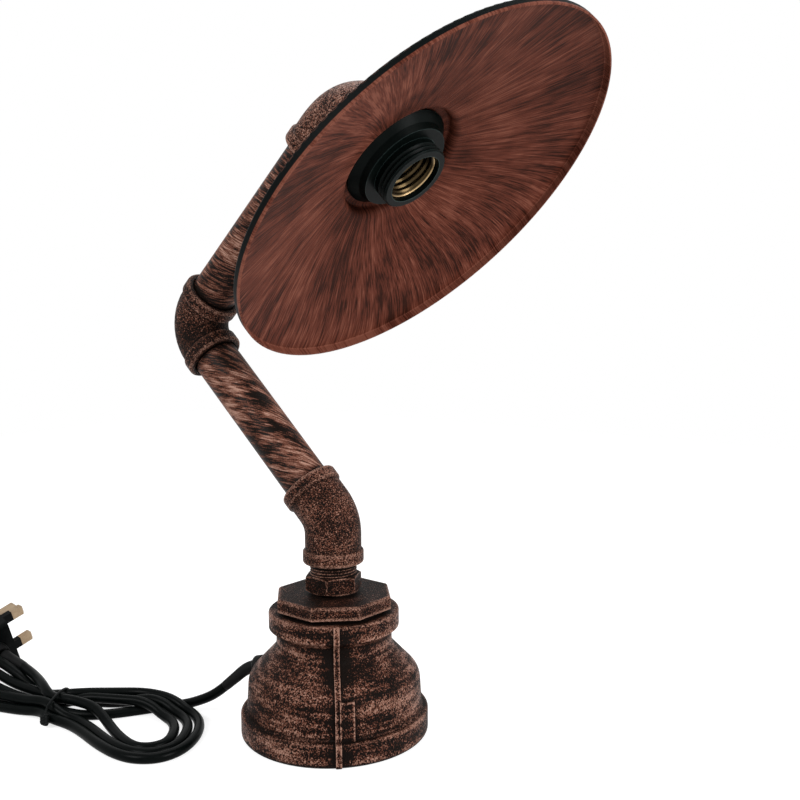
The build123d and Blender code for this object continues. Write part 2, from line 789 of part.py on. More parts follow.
plug_form = make_plug_form(Plane((0, 0, 0), x_dir=plug_cord_way, z_dir=plug_pin_way))
plug_origin = plug_place + up * -plug_form.bounding_box().min.Z
plug_face = Plane(plug_origin, x_dir=plug_cord_way, z_dir=plug_pin_way)
lead_axis_point = plug_face.from_local_coords(Vector(0, 0, -plug_thickness / 2))
lead_way = plug_face.x_dir
boot_plane = Plane(lead_axis_point + lead_way * (plug_cord_edge - boot_root), x_dir=plug_face.y_dir, z_dir=lead_way)
line_places = [(0, -pin_spacing / 2), (0, pin_spacing / 2)]
earth_place = (-earth_spacing, 0)
carrier_place = (carrier_offset, 0)
fuse_level = -carrier_depth + fuse_radius + cord_play
fuse_plane = Plane(
    plug_face.from_local_coords(Vector(carrier_offset, 0, fuse_level)), x_dir=plug_face.x_dir, z_dir=plug_face.y_dir
)


def core(size):
    return size[0] - 2 * sleeve_wall, size[1] - 2 * sleeve_wall


with BuildPart() as plug_body:
    add(make_plug_form(plug_face))
    with BuildSketch(plug_face):
        with Locations(*line_places):
            Rectangle(*core(line_pin_size))
        with Locations(earth_place):
            Rectangle(*earth_pin_size)
    extrude(amount=-pin_root, mode=Mode.SUBTRACT)
    with BuildSketch(plug_face):
        with Locations(carrier_place):
            Rectangle(carrier_size[0] + 2 * carrier_play, carrier_size[1] + 2 * carrier_play)
    extrude(amount=-carrier_depth, mode=Mode.SUBTRACT)
    with BuildSketch(boot_plane):
        Circle(boot_radius + cord_play)
    extrude(amount=plug_half_width, mode=Mode.SUBTRACT)
save(plug_body.part, "plug_body")

with BuildPart() as plug_boot:
    with BuildSketch(boot_plane):
        Circle(boot_radius)
    extrude(amount=boot_root)
    with BuildSketch(boot_plane.offset(boot_root)):
        Circle(boot_radius)
    with BuildSketch(boot_plane.offset(boot_root + boot_length)):
        Circle(boot_tip_radius)
    loft()
    with BuildSketch(boot_plane):
        Circle(cord_radius + cord_play)
    extrude(amount=boot_root + boot_length, mode=Mode.SUBTRACT)
    # The end is dished round the cord.
    with BuildSketch(boot_plane.offset(boot_root + boot_length)):
        Circle(boot_tip_radius - boot_lip)
    extrude(amount=-boot_dish, taper=boot_dish_taper, mode=Mode.SUBTRACT)
save(plug_boot.part, "plug_boot")


def make_line_pin(place):
    # Sleeved pin: thinner under its sleeve, chamfered at the tip.
    with BuildPart() as pin:
        with BuildSketch(plug_face.offset(-pin_root)):
            with Locations(place):
                Rectangle(core(line_pin_size)[0] - 2 * pin_play, core(line_pin_size)[1] - 2 * pin_play)
        extrude(amount=pin_root + sleeve_length)
        with BuildSketch(plug_face.offset(sleeve_length)):
            with Locations(place):
                Rectangle(*line_pin_size)
        extrude(amount=line_pin_length - sleeve_length)
        chamfer(pin.faces().sort_by(Axis(plug_origin, plug_face.z_dir))[-1].edges(), pin_chamfer)
    return pin.part


save(make_line_pin(line_places[0]), "line_pin")
save(make_line_pin(line_places[1]), "neutral_pin")

with BuildPart() as earth_pin:
    with BuildSketch(plug_face.offset(-pin_root)):
        with Locations(earth_place):
            Rectangle(earth_pin_size[0] - 2 * pin_play, earth_pin_size[1] - 2 * pin_play)
    extrude(amount=pin_root + earth_pin_length)
    chamfer(earth_pin.faces().sort_by(Axis(plug_origin, plug_face.z_dir))[-1].edges(), pin_chamfer)
save(earth_pin.part, "earth_pin")

with BuildPart() as pin_sleeves:
    with BuildSketch(plug_face):
        with Locations(*line_places):
            Rectangle(*line_pin_size)
            Rectangle(*core(line_pin_size), mode=Mode.SUBTRACT)
    extrude(amount=sleeve_length)
save(pin_sleeves.part, "pin_sleeves")

with BuildPart() as plug_fuse_carrier:
    with BuildSketch(plug_face):
        with Locations(carrier_place):
            Rectangle(*carrier_size)
    extrude(amount=-carrier_depth)
    with BuildSketch(fuse_plane):
        Circle(fuse_radius + cord_play)
        with Locations((0, -fuse_radius)):
            Rectangle(2 * (fuse_radius + cord_play), 2 * fuse_radius)
    extrude(amount=(fuse_length + 2 * cord_play) / 2, both=True, mode=Mode.SUBTRACT)
save(plug_fuse_carrier.part, "plug_fuse_carrier")

with BuildPart() as plug_fuse:
    with BuildSketch(fuse_plane):
        Circle(fuse_radius)
    extrude(amount=fuse_length / 2, both=True)
    chamfer(plug_fuse.edges().filter_by(GeomType.CIRCLE), fuse_chamfer)
save(plug_fuse.part, "plug_fuse")

# ---- mains cord and its hank ------------------------------------------------------------------------
# The loose stretch from the grommet to the hank, and the lead from the hank to the plug.
cord_points = [
    exit_tip,
    exit_tip + exit_way * exit_run,
    Vector(-60.5, -21.6, 23.5),
    Vector(-71.0, -26.6, 13.6),
    Vector(-83.5, -29.0, 7.4),
    Vector(-96.0, -33.0, 5.0),
]
lead_start = boot_plane.origin
lead_points = [
    lead_start,
    lead_start + lead_way * (boot_root + boot_length + lead_run),
    Vector(-207.0, -63.5, 10.6),
    Vector(-193.0, -68.0, 7.6),
]


def cord_radii(points):
    # Radius at each bend: 0.45 x shorter run / tan(half turn), kept under eight cord diameters.
    found = []
    for before, here, after in zip(points, points[1:], points[2:]):
        turn = radians((here - before).get_angle(after - here))
        shorter = min((here - before).length, (after - here).length)
        found.append(min(0.45 * shorter / tan(turn / 2), 16 * cord_radius))
    return found


def make_cord(points, radius):
    # Round cord along the points, its bends as arcs.
    with BuildPart() as cord:
        with BuildLine() as run:
            FilletPolyline(*points, radius=cord_radii(points))
        with BuildSketch(Plane(run.line @ 0, z_dir=run.line % 0)):
            Circle(radius)
        sweep(transition=Transition.RIGHT)
    length = sum(edge.length for edge in run.edges())
    print("cord length", round(length, 1), "volume share", round(cord.part.volume / (pi * radius**2 * length), 3))
    return cord.part


print("cord radii", [round(radius, 1) for radius in cord_radii(cord_points) + cord_radii(lead_points)])
save(make_cord(cord_points, cord_radius), "mains_cord")
save(make_cord(lead_points, cord_radius), "plug_lead")
entries = [make_cord(points, cord_radius + cord_play) for points in (cord_points, lead_points)]


def band_sides(points, widths):
    # Left and right edges of a band of changing width along a plan curve.
    course = Spline(*points)
    left = []
    right = []
    steps = 4 * len(points)
    for step in range(steps + 1):
        share = step / steps
        along = share * (len(widths) - 1)
        first = min(int(along), len(widths) - 2)
        width = widths[first] + (widths[first + 1] - widths[first]) * (along - first)
        ahead = course % share
        side = Vector(-ahead.Y, ahead.X)
        left.append(course @ share + side * (width / 2))
        right.append(course @ share - side * (width / 2))
    return left, right


def make_band(points, widths, height):
    left, right = band_sides(points, widths)
    with BuildPart() as band:
        with BuildSketch():
            with BuildLine():
                Spline(*left)
                Line(left[-1], right[-1])
                Spline(*right[::-1])
                Line(right[0], left[0])
            make_face()
        extrude(amount=height)
    return band.part


right_lobe = [
    (-150, -72), (-134, -56), (-118, -42), (-103, -36), (-88, -36), (-73, -42), (-62, -56), (-57, -73),
    (-61, -88), (-76, -92), (-96, -89), (-118, -86), (-136, -83), (-150, -82),
]
right_widths = [10, 12, 15, 17, 17, 18, 19, 19, 17, 18, 19, 16, 12, 10]
upper_band = [(-162, -73), (-178, -69), (-198, -68), (-218, -71.5), (-238, -78.5), (-254, -86)]
upper_widths = [17, 19, 20, 20, 20, 18]
far_bend = [(-247, -83), (-261, -90), (-267, -101), (-261, -112), (-247, -115)]
far_widths = [18, 18, 17, 14, 12]
return_band = [(-252, -112), (-236, -103), (-220, -92), (-204, -82.5), (-186, -79), (-166, -81)]
return_widths = [13, 13, 13, 12, 12, 12]
lower_band = [(-255, -117), (-234, -112), (-211, -101.5), (-190, -93), (-172, -88), (-160, -85)]
lower_widths = [8, 8, 8, 8, 8, 8]
ramp_run = ramp_start - ramp_end
with BuildPart() as ramp_cut:
    # Everything above the line from the hank's height to the upper band's height.
    with BuildSketch(Plane.XZ):
        with BuildLine():
            Polyline(
                (ramp_start + ramp_run, hank_height - (upper_height - hank_height)),
                (ramp_end, upper_height),
                (ramp_end - ramp_run, upper_height),
                (ramp_end - ramp_run, 2 * upper_height),
                (ramp_start + ramp_run, 2 * upper_height),
                close=True,
            )
        make_face()
    extrude(amount=2 * ramp_run)
with BuildPart() as cord_hank:
    add(make_band(right_lobe, right_widths, hank_height))
    add(make_band(upper_band, upper_widths, upper_height) - ramp_cut.part)
    add(make_band(far_bend, far_widths, far_height))
    add(make_band(return_band, return_widths, waist_height))
    add(make_band(lower_band, lower_widths, lower_height))
    with Locations((*waist_centre, 0)):
        Box(waist_length, waist_width, waist_height, align=(Align.CENTER, Align.CENTER, Align.MIN))
        # A groove underneath takes the tie.
        Box(
            tie_width + 2 * tie_play, 2 * waist_width, tie_wall,
            align=(Align.CENTER, Align.CENTER, Align.MIN), mode=Mode.SUBTRACT,
        )
    add(entries, mode=Mode.SUBTRACT)
print("cord_hank solids", len(cord_hank.part.solids()))
save(cord_hank.part, "cord_hank")

tie_plane = Plane((*waist_centre, 0), x_dir=(0, 1, 0), z_dir=(1, 0, 0))
with BuildPart() as cord_tie:
    with BuildSketch(tie_plane):
        with Locations((0, (waist_height + tie_wall) / 2)):
            Rectangle(waist_width + 2 * (tie_wall + tie_play), waist_height + tie_wall)
            Rectangle(waist_width + 2 * tie_play, waist_height - tie_wall, mode=Mode.SUBTRACT)
    extrude(amount=tie_width / 2, both=True)
save(cord_tie.part, "cord_tie")
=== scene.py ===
import json
from math import cos, pi, radians, sin, tan

import bpy
import numpy as np
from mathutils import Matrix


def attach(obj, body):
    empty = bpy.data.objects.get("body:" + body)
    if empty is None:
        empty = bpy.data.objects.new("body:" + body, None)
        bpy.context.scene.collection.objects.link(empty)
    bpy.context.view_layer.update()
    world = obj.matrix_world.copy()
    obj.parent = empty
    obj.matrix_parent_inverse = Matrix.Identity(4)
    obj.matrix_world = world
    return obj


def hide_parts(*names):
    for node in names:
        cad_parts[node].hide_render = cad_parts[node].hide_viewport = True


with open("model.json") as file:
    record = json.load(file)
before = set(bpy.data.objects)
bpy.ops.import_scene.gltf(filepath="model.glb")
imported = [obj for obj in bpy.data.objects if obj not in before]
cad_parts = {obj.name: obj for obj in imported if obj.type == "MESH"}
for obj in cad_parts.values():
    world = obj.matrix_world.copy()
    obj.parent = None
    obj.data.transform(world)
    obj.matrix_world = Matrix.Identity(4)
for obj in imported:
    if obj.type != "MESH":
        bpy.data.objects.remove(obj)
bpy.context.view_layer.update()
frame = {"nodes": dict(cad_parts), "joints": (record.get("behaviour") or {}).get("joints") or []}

nodes = frame["nodes"]
joints = {joint["name"]: joint for joint in frame["joints"]}
mm = 0.001
print("frame loaded with", len(nodes), "nodes")

# Places and directions that the lamp's pieces share, all from the joints.
lowerWay = np.array(joints["arm_swivel"]["axis"])  # up the lower pipe
upperWay = np.array(joints["head_swivel"]["axis"])  # along the upper pipe, towards the head
headWay = -lowerWay  # from the head elbow out through the shade
acrossWay = np.array([0.0, 1.0, 0.0])
upWay = np.array([0.0, 0.0, 1.0])
neckFace = np.array(joints["neck_swivel"]["pos_m"])
middleCorner = np.array(joints["arm_swivel"]["pos_m"])
headCorner = np.array(joints["head_swivel"]["pos_m"])
origin = np.zeros(3)

camera = {
    "place": (0.36265, -0.46093, 0.25935),
    "tilt": 82.55,  # degrees from straight down
    "heading": 32.95,  # degrees round from +Y
    "lens": 46.78,  # millimetres on a 36 mm sensor
    "shift": (-0.033, 0.0245),
}
cameraData = bpy.data.cameras.new("camera")
cameraData.sensor_width = 36.0
cameraData.lens = camera["lens"]
cameraData.shift_x, cameraData.shift_y = camera["shift"]
cameraObject = bpy.data.objects.new("camera", cameraData)
cameraObject.location = camera["place"]
cameraObject.rotation_euler = (radians(camera["tilt"]), 0, radians(camera["heading"]))
bpy.context.scene.collection.objects.link(cameraObject)
bpy.context.scene.camera = cameraObject
bpy.context.scene.view_settings.view_transform = "Standard"
print("camera placed")


def addToScene(name, data):
    made = bpy.data.objects.new(name, data)
    bpy.context.scene.collection.objects.link(made)
    return made


def strandCurve(name, points):
    # NURBS line of order 3 with the given control points, clamped at both ends.
    curve = bpy.data.curves.new(name, "CURVE")
    curve.dimensions = "3D"
    strand = curve.splines.new("NURBS")
    strand.points.add(len(points) - 1)
    strand.points.foreach_set("co", np.hstack([points, np.ones((len(points), 1))]).ravel())
    strand.order_u = 3
    strand.use_endpoint_u = True
    strand.resolution_u = 8
    return curve


def readLine(points):
    # The places along a strand's NURBS line, as an array.
    bare = bpy.data.objects.new("bareLine", strandCurve("bareLine", points))
    mesh = bpy.data.meshes.new_from_object(bare)
    places = np.empty(3 * len(mesh.vertices))
    mesh.vertices.foreach_get("co", places)
    bpy.data.objects.remove(bare)
    bpy.data.meshes.remove(mesh)
    return places.reshape(-1, 3)


# The mains flex: out of the base and under the hank, three turns of it tied at the waist, then the plug.
# Each turn is a left and a right stretch; the points are in millimetres.
flex = {
    "diameter": 6.0,
    "lift": 1.6,  # the tie's wire lifts the strands it passes under
    "liftPlace": -152.0,
    "liftWidth": 11.0,
    "exit": (-48.659, -14.876, 32.277),
    "free": [
        (-53.336, -16.306, 31.238), (-60.5, -21.6, 23.5), (-71.0, -26.6, 13.6), (-83.5, -29.0, 7.4), (-94, -31, 3.6),
        (-101, -36, 3), (-106, -43.5, 3), (-112, -52, 3), (-118, -60, 3), (-125, -68, 3), (-134, -74.5, 3),
        (-145, -78.5, 3), (-157, -79.5, 3),
    ],
    "leftMiddle": [
        (-172, -84, 3), (-190, -86.5, 3), (-208, -92.5, 3), (-226, -101, 3), (-240, -108.5, 3), (-252, -111.5, 3),
        (-260, -107.5, 3.6), (-264.5, -99.5, 5.2), (-262.5, -91, 8), (-255, -84, 11), (-243, -77.5, 12.5),
        (-228, -71.5, 12), (-208, -70.5, 7.2), (-198, -70.9, 6.6), (-188, -71, 6.4), (-174, -70.8, 6.4),
        (-166, -70.6, 7.2), (-157, -70.5, 8.4),
    ],
    "rightOuter": [
        (-146, -61.5, 9), (-133, -49.5, 9), (-119, -40, 9), (-105, -37.3, 9.2), (-95, -36.6, 8), (-86, -36.2, 4.5),
        (-76, -37.6, 3), (-65, -45, 3), (-55, -58, 3), (-49, -74, 3), (-51.5, -88.5, 3), (-63, -97, 3),
        (-78, -98.3, 3), (-96, -95, 3), (-115, -89.5, 3), (-130, -86.8, 3), (-145, -88.8, 3), (-157, -85.5, 3),
    ],
    "leftOuter": [
        (-172, -90, 3), (-190, -94, 3), (-210, -102, 3), (-232, -112, 3), (-250, -118, 3), (-266, -113, 3),
        (-273, -100, 6), (-267, -86, 11.5), (-252, -76, 16), (-238, -69.5, 17.5), (-226, -66.5, 16.5),
        (-208, -65.5, 11), (-199, -64.8, 6.8), (-188, -64.6, 3.4), (-174, -65.4, 3), (-157, -67.5, 3),
    ],
    "rightMiddle": [
        (-145, -60, 3), (-133, -52, 3), (-122, -48.2, 5), (-111, -45.3, 9), (-99, -43, 8.6), (-89, -42.4, 4.5),
        (-79, -44, 3), (-69.5, -50, 3), (-61, -61, 3), (-55.3, -73.5, 3), (-57.5, -84.5, 3), (-66, -91.3, 3),
        (-79, -92.3, 3), (-96, -89, 3), (-114, -83.5, 3), (-128, -80.6, 3), (-139, -82.4, 3.8), (-147.5, -83.6, 6.6),
        (-157, -82.5, 8.4),
    ],
    "leftInner": [
        (-172, -86.5, 8.4), (-190, -89.5, 8.5), (-208, -95.5, 8.5), (-224, -102, 8.5), (-237, -107, 8.6),
        (-247, -108, 8.6), (-254.5, -103, 8.6), (-256, -95, 8.6), (-251, -88, 8.6), (-241, -83.5, 8.4),
        (-228, -78, 7.2), (-208, -77, 4), (-190, -76.8, 3), (-174, -76.2, 3), (-157, -73.5, 3),
    ],
    "rightInner": [
        (-148, -68.5, 5.5), (-141, -64, 8.6), (-130, -58.5, 8.8), (-119, -54, 9), (-110, -50.8, 9.2), (-101, -49, 7.5),
        (-92, -49, 3.8), (-82, -51, 3), (-73.5, -57, 3), (-67, -65, 3), (-62.8, -73.5, 3), (-64.5, -81, 3),
        (-70.5, -86, 3), (-79, -86.2, 3), (-92, -82.2, 3), (-105, -77, 3.6), (-116, -73.6, 6.8), (-128, -71, 9.1),
        (-140, -72.8, 9.5), (-148, -75, 9), (-157, -76.5, 8.4),
    ],
    "lead": [
        (-164, -75.6, 10.8), (-172, -72.4, 12.8), (-181, -68.4, 13.0), (-190, -64.6, 12.6), (-200, -61.6, 12.8),
        (-212, -59.2, 13.8), (-227.815, -58.32, 15.252), (-244.005, -56.614, 17.938),
    ],
}
flexStretches = ["free", "leftMiddle", "rightOuter", "leftOuter", "rightMiddle", "leftInner", "rightInner", "lead"]
flexPoints = np.vstack([[flex["exit"]]] + [flex[stretch] for stretch in flexStretches]) * mm
# Height is raised by lift * exp(-((x - place) / width)^2).
fromTie = (flexPoints[:, 0] / mm - flex["liftPlace"]) / flex["liftWidth"]
flexPoints[:, 2] += flex["lift"] * mm * np.exp(-(fromTie**2))
flexCurve = strandCurve("mainsFlex", flexPoints)
flexCurve.bevel_depth = flex["diameter"] / 2 * mm
flexCurve.bevel_resolution = 5
flexCurve.use_fill_caps = True
mainsFlex = addToScene("mainsFlex", flexCurve)
flexLine = readLine(flexPoints)


def runsAlong(line):
    # Distance along the line from its first place to each of its places.
    return np.concatenate([[0], np.cumsum(np.linalg.norm(np.diff(line, axis=0), axis=1))])


def signedVolume(places, quads):
    # Volume inside closed quads: each half is a tetrahedron with the origin.
    a, b, c, d = (places[quads[:, creviceShade]] for creviceShade in range(4))
    return (np.einsum("ij,ij->i", a, np.cross(b, c)) + np.einsum("ij,ij->i", a, np.cross(c, d))).sum() / 6


def gridQuads(rows, columns):
    # Quads over a grid whose rows and columns both close on themselves.
    index = np.arange(rows * columns).reshape(rows, columns)
    ahead = np.roll(index, -1, axis=0)
    return np.stack([index, np.roll(index, -1, 1), np.roll(ahead, -1, 1), ahead], axis=-1).reshape(-1, 4)


def putMesh(name, places, quads):
    # Smooth mesh of quads, turned so that it holds a positive volume.
    if signedVolume(places, quads) < 0:
        quads = quads[:, ::-1]
    mesh = bpy.data.meshes.new(name)
    mesh.vertices.add(len(places))
    mesh.vertices.foreach_set("co", places.ravel())
    mesh.loops.add(quads.size)
    mesh.loops.foreach_set("vertex_index", quads.ravel())
    mesh.polygons.add(len(quads))
    mesh.polygons.foreach_set("loop_start", np.arange(0, quads.size, 4))
    mesh.polygons.foreach_set("use_smooth", np.ones(len(quads), dtype=bool))
    mesh.update(calc_edges=True)
    mesh.validate()
    return addToScene(name, mesh)


def turnedRing(name, centre, way, side, radius, along):
    # Each point is centre + way * along + radius * (side cos turn + other sin turn), a column for each turn.
    turn = np.linspace(0, 2 * pi, radius.shape[1], endpoint=False)
    spokes = np.outer(np.cos(turn), side) + np.outer(np.sin(turn), np.cross(way, side))
    places = centre + along[..., None] * way + radius[..., None] * spokes
    return putMesh(name, places.reshape(-1, 3), gridQuads(*radius.shape))


def unitRows(rows):
    # Each row over its own length.
    return rows / np.linalg.norm(rows, axis=1)[:, None]


def tubeAlong(line, ahead, radii, sides, lean):
    # Each point is the line's + radius * (first cos turn + second sin turn), both square to the way ahead.
    first = unitRows(np.cross(ahead, lean))
    second = unitRows(np.cross(ahead, first))
    turn = np.linspace(0, 2 * pi, sides, endpoint=False)
    spokes = first[:, None] * np.cos(turn)[None, :, None] + second[:, None] * np.sin(turn)[None, :, None]
    return line[:, None] + radii[:, None, None] * spokes


def closedTube(name, line, radii, sides):
    # A tube along the line, with a core a fifth of its least radius back down its middle, so that the grid closes.
    ahead = np.gradient(line, axis=0)
    skin = tubeAlong(line, ahead, radii, sides, upWay)
    core = tubeAlong(line[::-1], -ahead[::-1], np.full(len(line), radii.min() * 0.2), sides, upWay)[:, ::-1]
    places = np.vstack([skin, np.roll(core, 1, axis=1)])
    return putMesh(name, places.reshape(-1, 3), gridQuads(len(places), sides))


def smoothLine(corners, count):
    # Closed uniform cubic B-spline: each place is a weighted mean of the four corners round it.
    where = np.linspace(0, len(corners), count, endpoint=False)
    first = where.astype(int)
    u = (where - first)[:, None]
    weights = [(1 - u) ** 3, 3 * u**3 - 6 * u**2 + 4, -3 * u**3 + 3 * u**2 + 3 * u + 1, u**3]
    return sum(weight * corners[(first + step) % len(corners)] for step, weight in enumerate(weights)) / 6


# Tapered sleeves where the flex leaves the base and the plug.
sleeve = {
    "length": 23.0,
    "root": 3.9,
    "tip": 3.12,
    "taper": 1.4,
    "sunk": 0.05,  # how far the last row lies inside the flex
    "rows": 25,
    "sides": 32,
    "plugStart": 12.0,  # along the flex from its end in the plug
}


def flexSleeve(name, line):
    # A tube over the line's first stretch: radius = tip + (root - tip) * (1 - share)^taper.
    share = np.linspace(0, 1, sleeve["rows"])
    steps = share * sleeve["length"] * mm
    places = np.stack([np.interp(steps, runsAlong(line), line[:, axis]) for axis in range(3)], axis=1)
    radii = sleeve["tip"] + (sleeve["root"] - sleeve["tip"]) * (1 - share) ** sleeve["taper"]
    radii[-1] = flex["diameter"] / 2 - sleeve["sunk"]
    return closedTube(name, places, radii * mm, sleeve["sides"])


exitSleeve = flexSleeve("exitSleeve", flexLine)
leadLine = flexLine[::-1]
plugSleeve = flexSleeve("plugSleeve", leadLine[runsAlong(leadLine) > sleeve["plugStart"] * mm])
print("flex sleeves")

# The tie: one loop of coated wire round the hank's waist, its ends twisted together in front.
tie = {
    "wire": 0.8,  # radius
    "endWire": 1.35,
    "lean": (0.5, 0.28, 0.0),  # a direction that the loop never runs along
    "rows": 96,
    "endRows": 40,
    "sides": 12,
    "loop": [
        (-158.4, -62.9, 1.4), (-158.2, -63.2, 7.6), (-156.5, -66.2, 12.9), (-153.0, -73.5, 14.1), (-149.0, -81.5, 13.9),
        (-145.4, -89.5, 11.6), (-143.6, -93.2, 6.5), (-143.4, -93.6, 1.4), (-147.5, -84.5, 0.85), (-154.5, -71.0, 0.85),
    ],
    "twist": [(-143.9, -92.8, 6.6), (-141.6, -94.8, 3.1)],
    "twistTurns": 1.5,
    "tipShare": 0.4,  # of the end's wire that is left at its tip
    "tipSlope": 8.0,
}
tieLoop = smoothLine(np.array(tie["loop"]) * mm, tie["rows"])
tieAhead = np.roll(tieLoop, -1, 0) - np.roll(tieLoop, 1, 0)
tiePlaces = tubeAlong(tieLoop, tieAhead, np.full(tie["rows"], tie["wire"] * mm), tie["sides"], tie["lean"])
tieRing = putMesh("tieRing", tiePlaces.reshape(-1, 3), gridQuads(tie["rows"], tie["sides"]))


def twistedEnd(name, start):
    # A helix round the line from root to tip: each place is the line's + endWire * (across cos turn + over sin turn).
    root, tip = np.array(tie["twist"]) * mm
    share = np.linspace(0, 1, tie["endRows"])
    turn = start + 2 * pi * tie["twistTurns"] * share
    along = (tip - root) / np.linalg.norm(tip - root)
    across = np.cross(along, upWay)
    across /= np.linalg.norm(across)
    over = np.cross(along, across)
    line = root + np.outer(share, tip - root)
    line += tie["endWire"] * mm * (np.outer(np.cos(turn), across) + np.outer(np.sin(turn), over))
    radii = tie["endWire"] * mm * np.minimum(1, tie["tipShare"] + tie["tipSlope"] * (1 - share))
    return closedTube(name, line, radii, tie["sides"])


tieEnds = [twistedEnd("tieEnd1", 0), twistedEnd("tieEnd2", pi)]
print("tie")

# Screw threads left bare between the fittings.
threads = {
    "neckThread": {"low": 93.9, "high": 101.0, "crest": 13.5, "depth": 0.85, "pitch": 1.814},
    "bushThread": {"low": 82.5, "high": 84.4, "crest": 13.45, "depth": 0.7, "pitch": 1.814},
    "collarThread": {"low": 73.0, "high": 75.5, "crest": 30.35, "depth": 0.9, "pitch": 2.309},
}
threadGrid = {"perPitch": 12, "columns": 120, "core": 2.0}  # core: from the crests in to the ring's inner wall


def heightGrid(low, high, rows, columns):
    # Heights from low to high, and then two more rows at high and low for the wall that closes the ring.
    heights = np.append(np.linspace(low, high, rows), [high, low])
    return heights[:, None] + np.zeros((1, columns))


def boltThread(name, size):
    # Radius = crest - depth * w^2 (3 - 2 w), where w = |2 frac(height / pitch - turn / 2 pi) - 1|.
    rows = int((size["high"] - size["low"]) / size["pitch"] * threadGrid["perPitch"]) + 2
    height = heightGrid(size["low"], size["high"], rows, threadGrid["columns"])
    turn = np.linspace(0, 2 * pi, threadGrid["columns"], endpoint=False)[None, :]
    wave = np.abs(2 * ((height / size["pitch"] - turn / (2 * pi)) % 1) - 1)
    radius = size["crest"] - size["depth"] * wave * wave * (3 - 2 * wave)
    radius[-2:] = size["crest"] - threadGrid["core"]
    return turnedRing(name, origin, upWay, acrossWay, radius * mm, height * mm)


boltThreads = [boltThread(name, size) for name, size in threads.items()]

# The rolled lamp thread inside the screw shell.
lampThread = {
    "low": 39.7, "high": 56.9,
    "outer": 13.72, "middle": 13.15, "rise": 0.5, "wall": 0.1,
    "pitch": 3.62, "fade": 2.0,
    "rows": 72, "columns": 96,
}


def rolledThread(name, size):
    # Radius = middle + rise * cos(2 pi height / pitch - turn), widening to the shell at both ends.
    height = heightGrid(size["low"], size["high"], size["rows"], size["columns"])
    turn = np.linspace(0, 2 * pi, size["columns"], endpoint=False)[None, :]
    ends = np.clip(np.minimum(height - size["low"], size["high"] - height) / size["fade"], 0, 1)
    rolled = size["middle"] + size["rise"] * np.cos(2 * pi * height / size["pitch"] - turn)
    radius = ends * rolled + (1 - ends) * size["outer"]
    radius[-2:] = size["outer"] + size["wall"]
    return turnedRing(name, headCorner, headWay, acrossWay, radius * mm, height * mm)


lampThreadPiece = rolledThread("lampThread", lampThread)
print("threads")


def addNode(tree, kind, settings=(), inputs=()):
    # A node with its settings; an input takes a number, a colour, a socket or a Signal.
    made = tree.nodes.new(kind)
    for name, value in dict(settings).items():
        setattr(made, name, value)
    for name, value in dict(inputs).items():
        value = value.socket if isinstance(value, Signal) else value
        if isinstance(value, bpy.types.NodeSocket):
            tree.links.new(value, made.inputs[name])
        else:
            made.inputs[name].default_value = value
    return made


class Signal:
    # A number in a material: its operators add Math nodes.
    def __init__(self, finish, socket):
        self.finish = finish
        self.socket = socket

    def __add__(self, other):
        return self.finish.maths("ADD", self, other)

    def __sub__(self, other):
        return self.finish.maths("SUBTRACT", self, other)

    def __rsub__(self, other):
        return self.finish.maths("SUBTRACT", other, self)

    def __mul__(self, other):
        return self.finish.maths("MULTIPLY", self, other)

    __radd__ = __add__
    __rmul__ = __mul__


